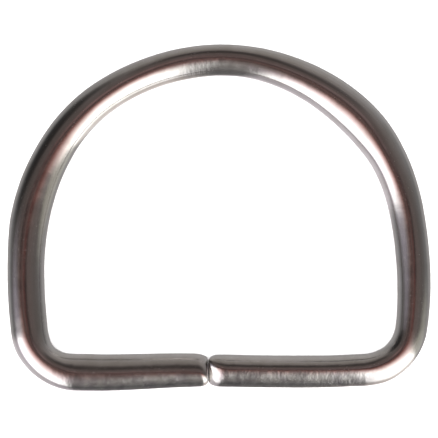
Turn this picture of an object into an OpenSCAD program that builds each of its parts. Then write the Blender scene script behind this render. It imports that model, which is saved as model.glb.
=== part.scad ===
/* D ring bent from one length of round steel wire.
   The ring lies flat: the bar runs along X on the -Y side and the crown points to +Y.
   It touches the ground at Z = 0, and the origin is under the middle of its outline. */

/* [Wire] */
// Diameter of the drawn wire
wire_d = 3; // [2.4:0.1:3.4]
// Rounding on the rim of the cut end left of the joint
left_rim_r = 0.9; // [0.3:0.05:1.1]
// Rounding on the rim of the cut end right of the joint
right_rim_r = 0.7; // [0.3:0.05:1.1]

/* [Opening] */
// Clear width between the sides, where the ring is widest
inside_w = 31; // [29:0.5:34]
// Clear height from the bar to the crown
inside_h = 24.2; // [22:0.2:26.6]
// Height above the bar at which the ring is widest
widest_h = 6.4; // [4.4:0.2:8]

/* [Bends] */
// Inside bend radius of the crown
crown_r = 15.8; // [14:0.2:17]
// Angle that the crown's bend covers on each side of the middle
crown_angle = 38; // [30:1:44]
// Inside bend radius of the bowed sides
side_r = 31; // [25:1:45]
// Inside bend radius of the two corners
corner_r = 2.8; // [1.6:0.2:5]

/* [Joint] */
// Gap between the two cut ends
joint_gap = 0.12; // [0.06:0.02:1]
// Distance of the joint to the left of the middle
joint_offset = 1; // [-5:0.5:5]

/* [Hidden] */
$fn = 96;
nickel = [0.56, 0.54, 0.53];

// Bends are laid out along the middle of the wire
wire_r = wire_d / 2;
crown_bend = crown_r + wire_r;
side_bend = side_r + wire_r;
corner_bend = corner_r + wire_r;

// How far the balls at the seams between bends stand out of the wire, less than its plating
seam_cover = 0.005;

// Heights of the wire's middle above the middle of the bar
crown_top = inside_h + wire_d;
widest_y = widest_h + wire_r;

// Each centre is for the right half. Angles turn from +Y towards the outside.
crown_centre = [0, crown_top - crown_bend];
side_centre = [inside_w / 2 + wire_r - side_bend, widest_y];

// The shoulder is the one bend that meets both the crown and the side without a kink
crown_end = crown_centre + crown_bend * outward(crown_angle);
from_side = crown_end - side_centre;
shoulder_bend = (side_bend ^ 2 - from_side * from_side)
    / (2 * (side_bend - from_side * outward(crown_angle)));
shoulder_centre = crown_end - shoulder_bend * outward(crown_angle);
side_start = angle_of(shoulder_centre - side_centre);

// The corner touches the side and the bar
corner_rise = corner_bend - side_centre.y;
corner_reach = sqrt((side_bend - corner_bend) ^ 2 - corner_rise ^ 2);
corner_centre = [side_centre.x + corner_reach, corner_bend];
side_end = angle_of(corner_centre - side_centre);
bar_angle = 180;

// Half-way between the bar's underside and the crown's top
outline_middle = crown_top / 2;

// Unit vector that points outwards at an angle from +Y
function outward(angle) = [sin(angle), cos(angle)];

// Angle from +Y at which a vector points
function angle_of(v) = atan2(v.x, v.y);

// Wire bent around a centre, from one angle to another
module bend(centre, radius, from, to) {
    translate(centre)
    rotate([0, 0, 90 - to])
    rotate_extrude(angle = to - from)
    translate([radius, 0])
    circle(r = wire_r);
}

// Ball that closes the seam where one bend runs into the next, its poles along the wire
module seam(centre, radius, angle) {
    translate(centre + radius * outward(angle))
    rotate([0, 90, -angle])
    sphere(r = wire_r + seam_cover);
}

// Straight wire along +X to a cut end with a rounded rim
module cut_leg(length, rim_r) {
    rotate([0, 90, 0])
    rotate_extrude() {
        square([wire_r, length - rim_r]);
        square([wire_r - rim_r, length]);
        intersection() {
            translate([wire_r - rim_r, length - rim_r]) circle(r = rim_r);
            square([wire_r, length]);
        }
    }
}

// Top of the bow, where a hook or a cord pulls
module crown() {
    bend(crown_centre, crown_bend, -crown_angle, crown_angle);
}

// Rounded stretch between the crown and the side
module right_shoulder() {
    seam(crown_centre, crown_bend, crown_angle);
    bend(shoulder_centre, shoulder_bend, crown_angle, side_start);
}

// Slightly bowed side
module right_side() {
    seam(side_centre, side_bend, side_start);
    bend(side_centre, side_bend, side_start, side_end);
}

// Tight bend from the side into the bar
module right_corner() {
    seam(side_centre, side_bend, side_end);
    bend(corner_centre, corner_bend, side_end, bar_angle);
}

module right_half() {
    right_shoulder();
    right_side();
    right_corner();
}

// Bar from the left corner to the joint
module left_bar() {
    translate([-corner_centre.x, 0])
    cut_leg(corner_centre.x - joint_offset - joint_gap / 2, left_rim_r);
}

// Bar from the right corner to the joint
module right_bar() {
    mirror([1, 0, 0])
    translate([-corner_centre.x, 0])
    cut_leg(corner_centre.x + joint_offset - joint_gap / 2, right_rim_r);
}

// The whole ring, one solid that is open only at the joint
module wire_ring() {
    color(nickel)
    translate([0, -outline_middle, wire_r + seam_cover]) {
        crown();
        right_half();
        mirror([1, 0, 0]) right_half();
        left_bar();
        right_bar();
    }
}

wire_ring();
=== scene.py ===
"""D ring bent from one length of round nickel-plated wire, lying flat and seen from straight above."""
import math

import bmesh
import bpy
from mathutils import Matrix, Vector, noise


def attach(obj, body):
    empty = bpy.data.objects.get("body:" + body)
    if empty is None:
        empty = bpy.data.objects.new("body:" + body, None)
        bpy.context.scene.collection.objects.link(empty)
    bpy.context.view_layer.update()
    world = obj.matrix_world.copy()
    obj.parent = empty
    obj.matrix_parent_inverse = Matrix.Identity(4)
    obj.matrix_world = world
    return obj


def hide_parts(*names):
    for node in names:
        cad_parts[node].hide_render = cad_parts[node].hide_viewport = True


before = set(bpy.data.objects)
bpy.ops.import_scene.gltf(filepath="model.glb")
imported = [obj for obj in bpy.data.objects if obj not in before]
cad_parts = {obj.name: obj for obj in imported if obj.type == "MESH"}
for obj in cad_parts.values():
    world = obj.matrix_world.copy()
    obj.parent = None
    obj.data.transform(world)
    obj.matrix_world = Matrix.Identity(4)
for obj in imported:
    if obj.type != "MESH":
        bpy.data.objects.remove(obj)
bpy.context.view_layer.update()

MM = 0.001

# The ring's sizes, in millimetres and degrees
WIRE_R = 1.5
# The seams of the solids stand out this much, so the wire itself starts that far above the table
SEAM_COVER = 0.005
INSIDE_W, INSIDE_H, WIDEST_H = 31.0, 24.2, 6.4
CROWN_BEND, SIDE_BEND, CORNER_BEND = 15.8 + WIRE_R, 31.0 + WIRE_R, 2.8 + WIRE_R
CROWN_ANGLE = 38.0
# The cut ends all but touch, to the left of the bar's middle
JOINT_OFFSET, JOINT_GAP = 1.0, 0.03

# Faces of the wire: how many go round it, and how long they are
SIDES = 56
STEP = 0.16
# At the cut ends the faces get shorter
END_ZONE, END_STEPS = 1.9, 26
# Rings of the sawn faces: size of each as a share of the one before
SAWN_RINGS = (0.86, 0.72, 0.5)
# Corners that meet where the rolled strip closes are this close, in millimetres
SEAM_WELD = 0.0001

# The tables below start with the distance from the middle of the crown along the wire, in millimetres.
# How far the wire's flanks stand off its middle line: bending has squeezed it a little wider in places.
# A measuring program read these off the photograph. Columns: distance, outer flank, inner flank.
LEFT_FLANKS = (
    (0, 1.39, 1.36), (3, 1.36, 1.42), (6, 1.37, 1.42), (9, 1.44, 1.41), (12, 1.55, 1.40),
    (15, 1.58, 1.50), (18, 1.58, 1.64), (21, 1.67, 1.69), (24, 1.76, 1.63), (27, 1.62, 1.63),
    (30, 1.55, 1.69), (33, 1.56, 1.68), (34.5, 1.66, 1.57), (36, 1.67, 1.32), (37.5, 1.71, 1.36),
    (39, 1.76, 1.48), (42, 1.77, 1.44), (45, 1.64, 1.48), (48, 1.48, 1.53), (51, 1.38, 1.53),
)
RIGHT_FLANKS = (
    (0, 1.39, 1.36), (3, 1.43, 1.36), (6, 1.48, 1.50), (9, 1.57, 1.67), (12, 1.67, 1.80),
    (15, 1.72, 1.77), (18, 1.60, 1.61), (21, 1.49, 1.58), (24, 1.47, 1.53), (27, 1.48, 1.49),
    (30, 1.51, 1.41), (33, 1.48, 1.32), (36, 1.40, 1.34), (37.5, 1.40, 1.44), (39, 1.34, 1.48),
    (42, 1.46, 1.36), (45, 1.49, 1.34), (48, 1.47, 1.35), (51, 1.42, 1.42), (53, 1.41, 1.43),
)

# In these tables the distance is negative on the left.
# How full the wire's upper half is: 2 is round, more is flatter on top, less is more pointed.
# Columns: distance, outer side, inner side.
FULLNESS = (
    (-52, 2.0, 1.75), (-41, 2.0, 1.75), (-36, 2.0, 2.0), (-8, 2.0, 2.0), (-3, 2.25, 2.0),
    (3, 2.25, 2.0), (8, 2.0, 2.0), (37, 2.0, 2.0), (41, 2.0, 1.75), (54, 2.0, 1.75),
)
# How far the wire's top was pushed aside in bending. A fitting program worked the rows out from where the
# dark line along the wire runs in the photograph, and another thinned them out. Only those from 37.5 to 45
# were changed. Columns: distance, share of the wire's radius towards the ring's outer side.
LEAN = (
    (-51, 0.0), (-45, 0.05), (-42.5, 0.11), (-40, 0.12), (-37.5, 0.02), (-32, 0.11),
    (-26, 0.16), (-23, 0.14), (-20, 0.04), (-14, -0.02), (-8, 0.03), (0, 0.1),
    (5, 0.03), (8, 0.02), (14, 0.07), (17, -0.03), (20, -0.05), (23, 0.01),
    (29, -0.06), (35, -0.07), (37.5, -0.18), (41, -0.14), (45, -0.12), (53.5, -0.15),
)
# How much thinner the bending left the wire, seen from the side. It bulges a little at the right corner.
# Columns: distance, millimetres.
THINNING = ((-52, 0.0), (16, 0.0), (25, 0.02), (35.5, 0.06), (40, -0.02), (46, 0.0), (54, 0.0))

# Rounding of each cut end at its outer, inner and upper side: length along the wire, depth
LEFT_END = ((0.80, 0.36), (1.45, 0.50), (0.60, 0.32))
RIGHT_END = ((1.05, 0.58), (0.80, 0.62), (1.60, 0.62))
# How much further the shears pushed the top at each cut end: length along the wire, share of the radius
LEFT_PUSH, RIGHT_PUSH = (1.8, 0.15), (1.9, -0.40)

# Long swells that the bending left in the wire: size along it, size round it, height
SWELL = (1.5, 2.5, 0.008)


def outward(angle):
    """Unit vector at an angle from +Y towards the outside of the right half."""
    return Vector((math.sin(math.radians(angle)), math.cos(math.radians(angle))))


def angle_of(v):
    return math.degrees(math.atan2(v.x, v.y))


def right_bends():
    """Centre, radius and turned angle of each bend of the right half, from the crown to the bar."""
    crown_top = INSIDE_H + 2 * WIRE_R
    crown = Vector((0, crown_top - CROWN_BEND))
    side = Vector((INSIDE_W / 2 + WIRE_R - SIDE_BEND, WIDEST_H + WIRE_R))
    crown_end = crown + CROWN_BEND * outward(CROWN_ANGLE)
    gap = crown_end - side
    radius = (SIDE_BEND ** 2 - gap.dot(gap)) / (2 * (SIDE_BEND - gap.dot(outward(CROWN_ANGLE))))
    shoulder = crown_end - radius * outward(CROWN_ANGLE)
    side_start = angle_of(shoulder - side)
    rise = CORNER_BEND - side.y
    corner = Vector((side.x + math.sqrt((SIDE_BEND - CORNER_BEND) ** 2 - rise ** 2), CORNER_BEND))
    side_end = angle_of(corner - side)
    middle = Vector((0, crown_top / 2))
    return [
        (crown - middle, CROWN_BEND, CROWN_ANGLE),
        (shoulder - middle, radius, side_start - CROWN_ANGLE),
        (side - middle, SIDE_BEND, side_end - side_start),
        (corner - middle, CORNER_BEND, 180 - side_end),
    ]


class Route:
    """The wire's middle line. Distances run from the middle of the crown and are negative on the left."""

    def __init__(self):
        self.bends = right_bends()
        corner = self.bends[-1][0]
        to_bar = sum(radius * math.radians(turn) for _, radius, turn in self.bends)
        self.left_cut = -(to_bar + corner.x - JOINT_OFFSET - JOINT_GAP / 2)
        self.right_cut = to_bar + corner.x + JOINT_OFFSET - JOINT_GAP / 2

    def right_half(self, s):
        """Place and outward direction at a distance along the right half."""
        angle = 0.0
        for centre, radius, turn in self.bends:
            length = radius * math.radians(turn)
            if s <= length:
                out = outward(angle + math.degrees(s / radius))
                return centre + radius * out, out
            s -= length
            angle += turn
        return centre + Vector((-s, -radius)), Vector((0, -1))

    def at(self, s):
        place, out = self.right_half(abs(s))
        if s < 0:
            place.x, out.x = -place.x, -out.x
        return place, out

    def loops(self):
        """Distances at which the wire has a loop of corners, from one cut end to the other."""
        near_cut = [END_ZONE * (1 - math.cos(math.pi / 2 * k / END_STEPS)) for k in range(END_STEPS)]
        start, end = self.left_cut + END_ZONE, self.right_cut - END_ZONE
        count = round((end - start) / STEP)
        even = [start + (end - start) * k / count for k in range(count + 1)]
        return [self.left_cut + d for d in near_cut] + even + [self.right_cut - d for d in near_cut[::-1]]


def read_table(table, s, column):
    """Smooth curve through a table's readings."""
    last = len(table) - 1
    i = next((k for k in range(last) if table[k + 1][0] >= s), last - 1)
    s0, s1 = table[i][0], table[i + 1][0]
    t = min(max((s - s0) / (s1 - s0), 0.0), 1.0)
    v = [table[min(max(k, 0), last)][column] for k in (i - 1, i, i + 1, i + 2)]
    m0, m1 = (v[2] - v[0]) / 2, (v[3] - v[1]) / 2
    return ((2 * t ** 3 - 3 * t ** 2 + 1) * v[1] + (t ** 3 - 2 * t ** 2 + t) * m0
            + (3 * t ** 2 - 2 * t ** 3) * v[2] + (t ** 3 - t ** 2) * m1)


def rounding(end, to_cut, out, up):
    """How much the rounded rim of a cut end takes off, in the direction (out, up) round the wire."""
    shares = (max(out, 0) ** 2, max(-out, 0) ** 2, up ** 2)
    length = sum(share * row[0] for share, row in zip(shares, end))
    depth = sum(share * row[1] for share, row in zip(shares, end))
    if to_cut >= length:
        return 0.0
    return depth * (1 - math.sqrt(max(0.0, 1 - (1 - to_cut / length) ** 2)))


def push(end, to_cut):
    """Share of the radius by which the top of a cut end is pushed aside."""
    length, share = end
    return share * max(0.0, 1 - to_cut / length) ** 2


def top_of(s, out):
    """Height of the wire's upper half above its middle, as a share of its radius."""
    power = read_table(FULLNESS, s, 1 if out > 0 else 2)
    return max(0.0, 1 - abs(out) ** power) ** (1 / power)


def swell(s, out, up):
    along, around, height = SWELL
    return height * noise.noise(Vector((s / along, out * WIRE_R / around, up * WIRE_R / around)))


def rolled_strip(loops):
    """A flat strip, rolled up round X into a straight wire. Each corner keeps its place on that wire."""
    bm = bmesh.new()
    straight = bm.verts.layers.float_vector.new("straight")
    half = 0.5
    bmesh.ops.create_grid(bm, x_segments=len(loops) - 1, y_segments=SIDES, size=half)
    for v in bm.verts:
        turn = 2 * math.pi * (v.co.y + half)
        s = loops[round((v.co.x + half) * (len(loops) - 1))]
        v[straight] = Vector((s, WIRE_R * math.cos(turn), WIRE_R * math.sin(turn)))
    return bm, straight


def bend_wire(bm, straight, route):
    """Bends the straight wire into the D, with its squeezed flanks, its rounded cut ends and its swells."""
    for v in bm.verts:
        s, out, up = v[straight].x, v[straight].y / WIRE_R, v[straight].z / WIRE_R
        table = LEFT_FLANKS if s < 0 else RIGHT_FLANKS
        flank = read_table(table, abs(s), 1 if out > 0 else 2)
        change = swell(s, out, up)
        change -= rounding(LEFT_END, s - route.left_cut, out, up)
        change -= rounding(RIGHT_END, route.right_cut - s, out, up)
        lean = read_table(LEAN, s, 1)
        lean += push(LEFT_PUSH, s - route.left_cut) + push(RIGHT_PUSH, route.right_cut - s)
        aside = lean * WIRE_R * max(up, 0.0) ** 2
        place, direction = route.at(s)
        side = place + direction * (out * (flank + change) + aside)
        high = WIRE_R + change
        if up > 0:
            up, high = top_of(s, out), high - read_table(THINNING, s, 1)
        v.co = Vector((*side, up * high + WIRE_R + SEAM_COVER)) * MM
        v[straight] = v[straight] * MM


def cap(bm, straight, rim):
    """Closes a cut end with its sawn face."""
    corners = {v for e in rim for v in e.verts}
    middle = sum((v.co for v in corners), Vector()) / len(corners)
    for shrink in SAWN_RINGS:
        made = bmesh.ops.extrude_edge_only(bm, edges=rim)["geom"]
        rim = [g for g in made if isinstance(g, bmesh.types.BMEdge)]
        for v in (g for g in made if isinstance(g, bmesh.types.BMVert)):
            v.co = middle + (v.co - middle) * shrink
            v[straight] = v[straight] * Vector((1, shrink, shrink))
    bmesh.ops.contextual_create(bm, geom=rim)


def make_wire_ring():
    """The whole ring, from the left cut end round to the right one."""
    route = Route()
    bm, straight = rolled_strip(route.loops())
    bend_wire(bm, straight, route)
    bmesh.ops.remove_doubles(bm, verts=bm.verts, dist=SEAM_WELD * MM)
    rims = [e for e in bm.edges if e.is_boundary]
    cap(bm, straight, [e for e in rims if e.verts[0][straight].x < 0])
    cap(bm, straight, [e for e in rims if e.verts[0][straight].x > 0])
    bmesh.ops.recalc_face_normals(bm, faces=bm.faces)
    for face in bm.faces:
        face.smooth = True
    return add_object("nickel_wire", bm)


def add_object(name, bm):
    mesh = bpy.data.meshes.new(name)
    bm.to_mesh(mesh)
    bm.free()
    made = bpy.data.objects.new(name, mesh)
    bpy.context.scene.collection.objects.link(made)
    return made


class Value:
    """A shader socket that is used like a number."""

    def __init__(self, tree, socket):
        self.tree, self.socket = tree, socket

    def __add__(self, other):
        return self.tree.maths("ADD", self, other)

    def __sub__(self, other):
        return self.tree.maths("SUBTRACT", self, other)

    def __rsub__(self, other):
        return self.tree.maths("SUBTRACT", other, self)

    def __mul__(self, other):
        return self.tree.maths("MULTIPLY", self, other)

    def __pow__(self, other):
        return self.tree.maths("POWER", self, other)

    __radd__, __rmul__ = __add__, __mul__


class Tree:
    """Fills the node tree of a material or of the world."""

    def __init__(self, owner):
        owner.use_nodes = True
        self.nodes, self.links = owner.node_tree.nodes, owner.node_tree.links
        self.nodes.clear()

    def add(self, kind, settings=None, sockets=None, output=0):
        """Adds a node with its settings, then its sockets' values or links."""
        node = self.nodes.new(kind)
        for name, value in (settings or {}).items():
            setattr(node, name, value)
        for name, value in (sockets or {}).items():
            self.feed(node.inputs[name], value)
        return Value(self, node.outputs[output]) if node.outputs else node

    def feed(self, socket, value):
        if isinstance(value, Value):
            self.links.new(value.socket, socket)
        else:
            socket.default_value = value

    def maths(self, operation, *values):
        return self.add("ShaderNodeMath", {"operation": operation}, dict(enumerate(values)))

    def vector(self, operation, *vectors):
        return self.add("ShaderNodeVectorMath", {"operation": operation}, dict(enumerate(vectors)))

    def scale(self, vector, factor):
        return self.add("ShaderNodeVectorMath", {"operation": "SCALE"}, {0: vector, "Scale": factor})

    def dot(self, vector, other):
        return self.add("ShaderNodeVectorMath", {"operation": "DOT_PRODUCT"}, {0: vector, 1: other}, 1)

    def part(self, vector, axis):
        return self.add("ShaderNodeSeparateXYZ", None, {0: vector}, axis)

    def rise(self, value, start, end, low=0.0, high=1.0):
        """Smooth step from low to high while the value goes from start to end."""
        return self.add("ShaderNodeMapRange", {"interpolation_type": "SMOOTHSTEP"},
                        {0: value, 1: start, 2: end, 3: low, 4: high})

    def mix(self, share, first, second):
        return self.add("ShaderNodeMix", {"data_type": "RGBA"}, {0: share, 6: first, 7: second}, 2)

    def noise(self, place, scale, detail, roughness):
        return self.add("ShaderNodeTexNoise", None,
                        {"Vector": place, "Scale": scale, "Detail": detail, "Roughness": roughness})

    def ramp(self, value, stops):
        """Smooth run of colours."""
        made = self.add("ShaderNodeValToRGB", None, {0: value})
        colours = made.socket.node.color_ramp
        colours.interpolation = "EASE"
        while len(colours.elements) < len(stops):
            colours.elements.new(1.0)
        for element, (place, colour) in zip(colours.elements, stops):
            element.position, element.color = place, (*colour, 1.0)
        return made


# The nickel. Its noises are laid out on the straight wire, in millimetres: scale, detail, roughness.
CLOUD_NOISE, FILM_NOISE, PATCH_NOISE = (0.55, 3.0, 0.55), (1.15, 3.0, 0.6), (1.0, 1.0, 0.5)
RIPPLE_NOISE, LINE_NOISE, PIT_NOISE = (1.0, 2.0, 0.5), (1.0, 3.0, 0.6), (9.0, 2.0, 0.6)
# How much finer the ripples and the draw lines are along the wire, across it and up
RIPPLE_SQUEEZE, LINE_SQUEEZE = (1.5, 0.9, 0.9), (0.5, 9.0, 9.0)
# Between which values of its noise each mark appears
CLOUDY, DULL_CLOUD, DULL_LINE = (0.35, 0.70), (0.42, 0.72), (0.45, 0.80)
PIT, PATCH, FILM = (0.70, 0.76), (0.30, 0.72), (0.44, 0.62)
# Where straps have worn the bar and hooks the crown, and how much less the crown is worn. Each pair says
# where the wear starts and where it is full, by the distance from the middle of the crown.
BAR_ZONE, CROWN_ZONE, CROWN_WEAR = (36.0, 40.0), (4.5, 1.5), 0.6
# Across the bar, where the straps' dull film starts and is full: it lies on the ring's outer side
FILM_ZONE = (-0.2, 0.5)
# Colours, and how much of them the film and the pits show
BRIGHT, CLOUDED = (0.58, 0.56, 0.55, 1), (0.53, 0.51, 0.49, 1)
FILM_COLOUR, PIT_COLOUR = (0.36, 0.33, 0.35, 1), (0.20, 0.18, 0.16, 1)
FILM_SHARE, PIT_SHARE = 0.5, 0.35
# Roughness everywhere, then what clouds, draw lines, worn patches and pits add
SHEEN, CLOUD_SHEEN, LINE_SHEEN, PATCH_SHEEN, PIT_SHEEN = 0.14, 0.05, 0.04, 0.06, 0.2
# Heights and depths, in millimetres
RIPPLE, WORN_RIPPLE, LINE_DEPTH, PIT_DEPTH = 0.005, 0.021, 0.0006, 0.0015


def plate_colour(tree, place, bar, cloud, pits):
    """Warm grey with faint clouds, the straps' film on the bar and dark pits."""
    film = tree.rise(tree.noise(place, *FILM_NOISE), *FILM) * bar
    film = film * tree.rise(tree.part(place, 1), *FILM_ZONE)
    tint = tree.mix(tree.rise(cloud, *CLOUDY), BRIGHT, CLOUDED)
    tint = tree.mix(film * FILM_SHARE, tint, FILM_COLOUR)
    return tree.mix(pits * PIT_SHARE, tint, PIT_COLOUR)


def plate_roughness(tree, place, worn, cloud, lines, pits):
    patches = tree.rise(tree.noise(place, *PATCH_NOISE), *PATCH) * worn
    rough = tree.rise(cloud, *DULL_CLOUD, 0.0, CLOUD_SHEEN) + tree.rise(lines, *DULL_LINE, 0.0, LINE_SHEEN)
    return rough + pits * PIT_SHEEN + patches * PATCH_SHEEN + SHEEN


def plate_relief(tree, place, worn, lines, pits):
    """Ripples that are deeper where the ring is worn, draw lines and pits."""
    ripples = tree.noise(tree.vector("MULTIPLY", place, RIPPLE_SQUEEZE), *RIPPLE_NOISE)
    height = ripples * (worn * WORN_RIPPLE + RIPPLE) + lines * LINE_DEPTH - pits * PIT_DEPTH
    return tree.add("ShaderNodeBump", None, {"Strength": 1.0, "Distance": MM, "Height": height})


def nickel_plate():
    """Polished nickel with small ripples, fine draw lines, a few dull places and tiny pits."""
    material = bpy.data.materials.new("nickel_plate")
    tree = Tree(material)
    straight = tree.add("ShaderNodeAttribute", {"attribute_name": "straight"}, output=1)
    place = tree.scale(straight, 1 / MM)
    along = tree.maths("ABSOLUTE", tree.part(place, 0))
    bar = tree.rise(along, *BAR_ZONE)
    worn = bar + tree.rise(along, *CROWN_ZONE) * CROWN_WEAR
    cloud = tree.noise(place, *CLOUD_NOISE)
    lines = tree.noise(tree.vector("MULTIPLY", place, LINE_SQUEEZE), *LINE_NOISE)
    pits = tree.rise(tree.noise(place, *PIT_NOISE), *PIT)
    shader = tree.add("ShaderNodeBsdfPrincipled", None, {
        "Base Color": plate_colour(tree, place, bar, cloud, pits),
        "Metallic": 1.0,
        "Roughness": plate_roughness(tree, place, worn, cloud, lines, pits),
        "Normal": plate_relief(tree, place, worn, lines, pits),
    })
    tree.add("ShaderNodeOutputMaterial", None, {"Surface": shader})
    return material


# The studio as the polished wire sees it. Its first values came from a program that fitted it to the
# photograph's colours, and they were then changed render by render. Directions are a bearing
# from -Y towards +X and a tilt from straight up, in degrees. Colours are red, green and blue.
# The room's light. Columns: share of the way from straight up over the horizon (0.5) to straight down,
# colour.
ROOM = (
    (0.0, (0.072, 0.055, 0.052)),
    (0.05, (0.158, 0.126, 0.119)),
    (0.179, (0.185, 0.161, 0.153)),
    (0.313, (0.214, 0.198, 0.191)),
    (0.50, (0.288, 0.284, 0.285)),
    (0.82, (0.462, 0.455, 0.455)),
)
# Dark things. Columns: bearing, tilt, radius that is fully dark, radius where it ends, how dark.
DARK_SPOTS = (
    (-124, 73, 10, 32, 0.75),
    (-91, 71, 19, 61, 0.41),
    (0, 113, 10, 42, 0.59),
    (98, 74, 8, 42, 0.24),
    (-90, 10, 1, 13, 0.55),
    (90, 10, 1, 13, 0.55),
    (-22, 12, 1, 9, 0.35),
    (-150, 118, 1, 25, 0.20),
)
# Dark ring round the camera: between which tilts it starts and ends, how dark it is, and the part of it
# that there is, as bearing, tilt, inner and outer radius
DARK_BAND = {"starts": (18, 36), "ends": (47, 60), "depth": 0.62, "part": (168, 60, 23.07, 38.74)}
# Pale things. Columns: bearing, tilt, radius that is fully lit, radius where it ends, colour.
GLOWS = (
    (-53, 60, 17, 41, (0.29, 0.27, 0.33)),
    (180, 98, 8, 52, (0.105, 0.090, 0.074)),
    (180, 13, 1, 15, (0.020, 0.016, 0.015)),
    (-26, 4.7, 1, 7.5, (0.100, 0.068, 0.063)),
    (49, 86, 26, 41, (0.31, 0.31, 0.26)),
    (31, 52, 1, 33, (0.40, 0.43, 0.41)),
    (138, 72, 5, 42, (0.082, 0.075, 0.074)),
    (136, 13, 1, 9.5, (0.16, 0.11, 0.11)),
    (-142, 13, 1, 9.5, (0.18, 0.10, 0.095)),
    (8, 33, 3, 21, (0.045, 0.043, 0.042)),
    (-90, 111, 1, 22, (0.065, 0.065, 0.072)),
    (130, 118, 1, 26, (0.060, 0.058, 0.058)),
)
# Light cards, the left one first. Each edge is the direction that points straight away from it into the
# card, and its softness. "under" is the table's colour below the lower edge.
CARDS = (
    {"sides": ((15.0, 91.2, 0.045), (-104.5, 96.0, 0.08)), "top": (-64.0, 117.0, 0.56),
     "low": (61.0, 18.0, 0.09), "gain": 2.2, "under": (0.50, 0.46, 0.50)},
    {"sides": ((100.6, 91.0, 0.085), (-33.0, 86.0, 0.04)), "top": (-12.0, 111.0, 0.45),
     "low": (60.0, 17.0, 0.18), "gain": 2.1, "under": (0.66, 0.60, 0.56)},
)
# A card's upper edge is warm: its red, green and blue are these powers of its brightness
WARM_EDGE = (1.0, 1.43, 1.5)
# What the camera sees past the table
BACKDROP = (0.97, 0.97, 0.97, 1.0)


def direction(bearing, tilt):
    b, t = math.radians(bearing), math.radians(tilt)
    return (math.sin(b) * math.sin(t), -math.cos(b) * math.sin(t), math.cos(t))


def within(tree, cosine, inner, outer):
    """1 up to the inner angle and 0 from the outer one, for the cosine of an angle."""
    return tree.rise(cosine, math.cos(math.radians(outer)), math.cos(math.radians(inner)))


def spot(tree, way, bearing, tilt, inner, outer):
    """1 round a direction and 0 far from it."""
    return within(tree, tree.dot(way, direction(bearing, tilt)), inner, outer)


def inside_edge(tree, way, bearing, tilt, softness):
    return tree.rise(tree.dot(way, direction(bearing, tilt)), -softness, softness)


def dark_band(tree, way):
    """1 in the dark ring round the camera, where there is one."""
    up = tree.part(way, 2)
    ring = within(tree, up, *DARK_BAND["ends"]) * (1 - within(tree, up, *DARK_BAND["starts"]))
    return ring * spot(tree, way, *DARK_BAND["part"])


def card_light(tree, way, card):
    """Light of one card and of the table below it."""
    across = inside_edge(tree, way, *card["sides"][0]) * inside_edge(tree, way, *card["sides"][1])
    top = inside_edge(tree, way, *card["top"])
    above = inside_edge(tree, way, *card["low"])
    edge = tree.add("ShaderNodeCombineXYZ", None, {k: top ** power for k, power in enumerate(WARM_EDGE)})
    card_glow = tree.scale(edge, across * above * card["gain"])
    return tree.vector("ADD", card_glow, tree.scale(card["under"], across * top * (1 - above)))


def studio_light(world):
    """Two light cards in front, a dark warm ceiling and grey walls."""
    tree = Tree(world)
    way = tree.add("ShaderNodeTexCoord")
    light = tree.ramp(tree.part(way, 2) * -0.5 + 0.5, ROOM)
    light = tree.scale(light, 1 - dark_band(tree, way) * DARK_BAND["depth"])
    for *place, depth in DARK_SPOTS:
        light = tree.scale(light, 1 - spot(tree, way, *place) * depth)
    for *place, colour in GLOWS:
        light = tree.vector("ADD", light, tree.scale(colour, spot(tree, way, *place)))
    for card in CARDS:
        light = tree.vector("ADD", light, card_light(tree, way, card))
    seen = tree.add("ShaderNodeLightPath", output="Is Camera Ray")
    colour = tree.mix(seen, light, BACKDROP)
    glow = tree.add("ShaderNodeBackground", None, {"Color": colour, "Strength": 1.0})
    tree.add("ShaderNodeOutputWorld", None, {"Surface": glow})


# The table: half its width, in metres, and its colour
TABLE_HALF, TABLE_COLOUR = 1.5, (0.9, 0.9, 0.9, 1)
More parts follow.
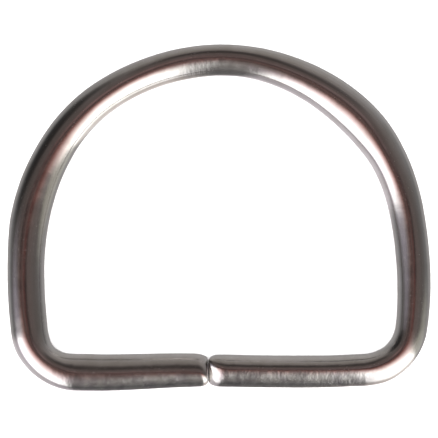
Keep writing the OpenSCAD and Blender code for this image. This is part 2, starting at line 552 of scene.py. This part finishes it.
# The light over it: width and height, in metres, and watts
TABLE_LIGHT_SIZE, TABLE_LIGHT_HEIGHT, TABLE_LIGHT_WATTS = 0.7, 0.5, 9.5


def make_table():
    """Plain pale table top. Polished metal sees the grey room in its place."""
    bm = bmesh.new()
    bmesh.ops.create_grid(bm, x_segments=1, y_segments=1, size=TABLE_HALF)
    table = add_object("table", bm)
    material = bpy.data.materials.new("pale_table")
    tree = Tree(material)
    shader = tree.add("ShaderNodeBsdfDiffuse", None, {"Color": TABLE_COLOUR})
    tree.add("ShaderNodeOutputMaterial", None, {"Surface": shader})
    table.data.materials.append(material)
    table.visible_glossy = False


def make_table_light():
    """Wide soft light above the camera, which only brightens the table."""
    lamp = bpy.data.lights.new("table_light", "AREA")
    lamp.shape, lamp.size, lamp.energy = "SQUARE", TABLE_LIGHT_SIZE, TABLE_LIGHT_WATTS
    seat = bpy.data.objects.new("table_light", lamp)
    seat.location = (0, 0, TABLE_LIGHT_HEIGHT)
    seat.visible_camera = seat.visible_glossy = False
    bpy.context.scene.collection.objects.link(seat)


# The camera, in millimetres: its lens and sensor, then the width that the picture shows at the wire's
# middle height and the place at the picture's middle, as the photograph is framed
LENS, SENSOR = 150.0, 36.0
SHOWN, PICTURE_MIDDLE = 38.38, (-0.04, -0.30)
# Nothing nearer or farther than this is drawn, in metres
NEAREST, FARTHEST = 0.005, 10.0


def make_camera():
    """Straight above the ring."""
    camera = bpy.data.cameras.new("camera")
    camera.lens, camera.sensor_width = LENS, SENSOR
    camera.clip_start, camera.clip_end = NEAREST, FARTHEST
    seat = bpy.data.objects.new("camera", camera)
    seat.location = Vector((*PICTURE_MIDDLE, SHOWN * LENS / SENSOR + WIRE_R)) * MM
    bpy.context.scene.collection.objects.link(seat)
    bpy.context.scene.camera = seat


ring = make_wire_ring()
ring.data.materials.append(nickel_plate())
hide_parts("wire_ring")
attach(ring, "root")

world = bpy.data.worlds.new("studio")
bpy.context.scene.world = world
studio_light(world)
make_table()
make_table_light()
make_camera()
bpy.context.scene.view_settings.view_transform = "Standard"
